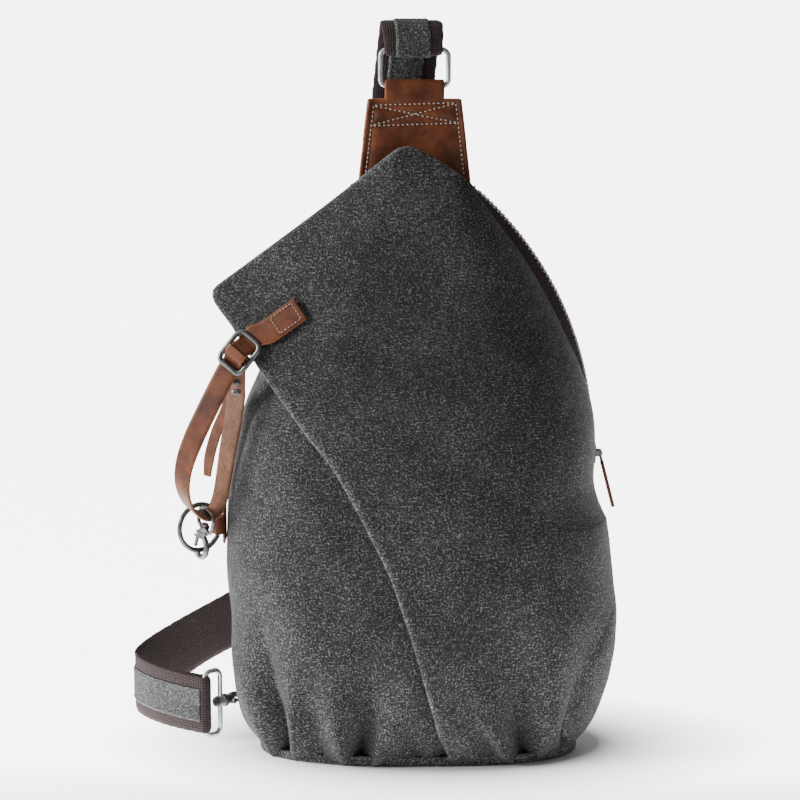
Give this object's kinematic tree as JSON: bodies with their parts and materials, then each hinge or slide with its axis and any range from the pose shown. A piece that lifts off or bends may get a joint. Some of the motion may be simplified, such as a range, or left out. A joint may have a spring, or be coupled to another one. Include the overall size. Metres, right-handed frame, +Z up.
{
  "type": "sling bag",
  "caption": "One-strap canvas sling bag that stands on its base, with a folded front flap, side zip, leather trim, and a shoulder strap clipped at its lower corner.",
  "frame": {"origin": "middle of the base, on the ground", "axes": "+Z up, +X to the right as seen from the front, +Y towards the back panel"},
  "size_m": [0.2777, 0.1406, 0.4088],
  "materials": {
    "canvas": "washed heavy canvas, matt",
    "strip_canvas": "grey canvas strip, matt",
    "webbing": "maroon-brown cotton webbing, ribbed",
    "zip_tape": "maroon woven tape",
    "zip_metal": "aged nickel zip metal",
    "leather": "smooth brown leather, semi-gloss",
    "nickel": "dark polished nickel",
    "lining": "smooth cotton lining",
    "foam": "soft foam",
    "board": "stiff sheet"
  },
  "bodies": {
    "root": {"back_panel": "canvas", "back_foam": "foam", "front_panel": "canvas", "left_panel": "canvas", "right_gusset": "canvas", "base_panel": "canvas", "base_board": "board", "base_piping": "canvas", "lining": "lining", "inner_pocket": "lining", "zip_tape_front": "zip_tape", "zip_tape_rear": "zip_tape", "zip_teeth_front": "zip_metal", "zip_teeth_rear": "zip_metal", "zip_stops": "zip_metal", "top_patch": "leather", "top_patch_back": "leather", "strap_outer": "webbing", "strap_outer_strip": "strip_canvas", "strap_inner": "webbing", "strap_inner_strip": "strip_canvas", "strap_loop": "nickel", "d_ring_tab": "leather", "flap_strap": "leather", "flap_strap_tail": "leather", "flap_rivets": "nickel", "small_loop": "nickel", "o_ring_tab": "leather"},
    "zip_slider": {"zip_slider": "zip_metal"},
    "zip_pull": {"zip_pull": "zip_metal"},
    "flap": {"front_flap": "canvas", "flap_tab": "leather", "flap_buckle": "nickel"},
    "top_ring": {"top_ring": "nickel", "strap_arch": "webbing", "strap_arch_strip": "strip_canvas"},
    "adjuster": {"adjuster": "nickel", "strap_inner_fold": "webbing"},
    "strap_hook": {"strap_hook": "nickel"},
    "strap_gate": {"strap_gate": "nickel"},
    "d_ring": {"d_ring": "nickel"},
    "small_hook": {"small_hook": "nickel"},
    "small_gate": {"small_gate": "nickel"},
    "o_ring": {"o_ring": "nickel"}
  },
  "joints": [
    {"name": "zip_slide", "type": "hinge", "parent": "root", "child": "zip_slider", "pos_m": [-0.095, 0.0115, 0.17], "axis": [0, -0.995, -0.0995], "range_deg": [0, 48]},
    {"name": "zip_pull_swing", "type": "hinge", "parent": "zip_slider", "child": "zip_pull", "pos_m": [0.10493, 0.01202, 0.16479], "axis": [0, -0.995, -0.0995], "range_deg": [0, 130]},
    {"name": "flap_lift", "type": "hinge", "parent": "root", "child": "flap", "pos_m": [-0.05495, -0.05178, 0.2], "axis": [0.2966, 0.2785, 0.9135], "range_deg": [0, 17], "deforming": ["flap_strap", "flap_strap_tail", "flap_rivets"]},
    {"name": "ring_swing", "type": "hinge", "parent": "root", "child": "top_ring", "pos_m": [0, 0.004, 0.3718], "axis": [1, 0, 0], "range_deg": [-25, 25], "deforming": ["strap_outer", "strap_outer_strip", "strap_inner", "strap_inner_strip"]},
    {"name": "adjuster_slide", "type": "slide", "parent": "root", "child": "adjuster", "axis": [0.0837, -0.1217, 0.989], "range_m": [0, 0.06], "deforming": ["strap_inner", "strap_inner_strip"]},
    {"name": "strap_hook_swivel", "type": "hinge", "parent": "root", "child": "strap_hook", "pos_m": [-0.0988, 0.0153, 0.0216], "axis": [-0.7547, -0.6561, 0], "range_deg": [-20, 10]},
    {"name": "strap_gate_open", "type": "hinge", "parent": "strap_hook", "child": "strap_gate", "pos_m": [-0.10303, 0.00553, 0.0216], "axis": [0, 0, 1], "range_deg": [0, 8.5], "stiffness_Nm_per_rad": 0.004, "springref_deg": -5.73},
    {"name": "d_ring_swing", "type": "hinge", "parent": "root", "child": "d_ring", "pos_m": [-0.089, 0.0239, 0.0216], "axis": [0, 0, 1], "range_deg": [-4, 1]},
    {"name": "small_hook_swivel", "type": "hinge", "parent": "root", "child": "small_hook", "pos_m": [-0.11997, -0.01542, 0.1145], "axis": [0.2045, -0.2943, 0.9336], "range_deg": [-20, 20]},
    {"name": "small_gate_open", "type": "hinge", "parent": "small_hook", "child": "small_gate", "pos_m": [-0.12036, -0.01487, 0.12504], "axis": [-0.8211, -0.5707, 0], "range_deg": [0, 14], "stiffness_Nm_per_rad": 0.003, "springref_deg": -5.73},
    {"name": "o_ring_swing", "type": "hinge", "parent": "root", "child": "o_ring", "pos_m": [-0.1093, -0.008, 0.1275], "axis": [0, 0, 1], "range_deg": [-3.3, 0]}
  ]
}
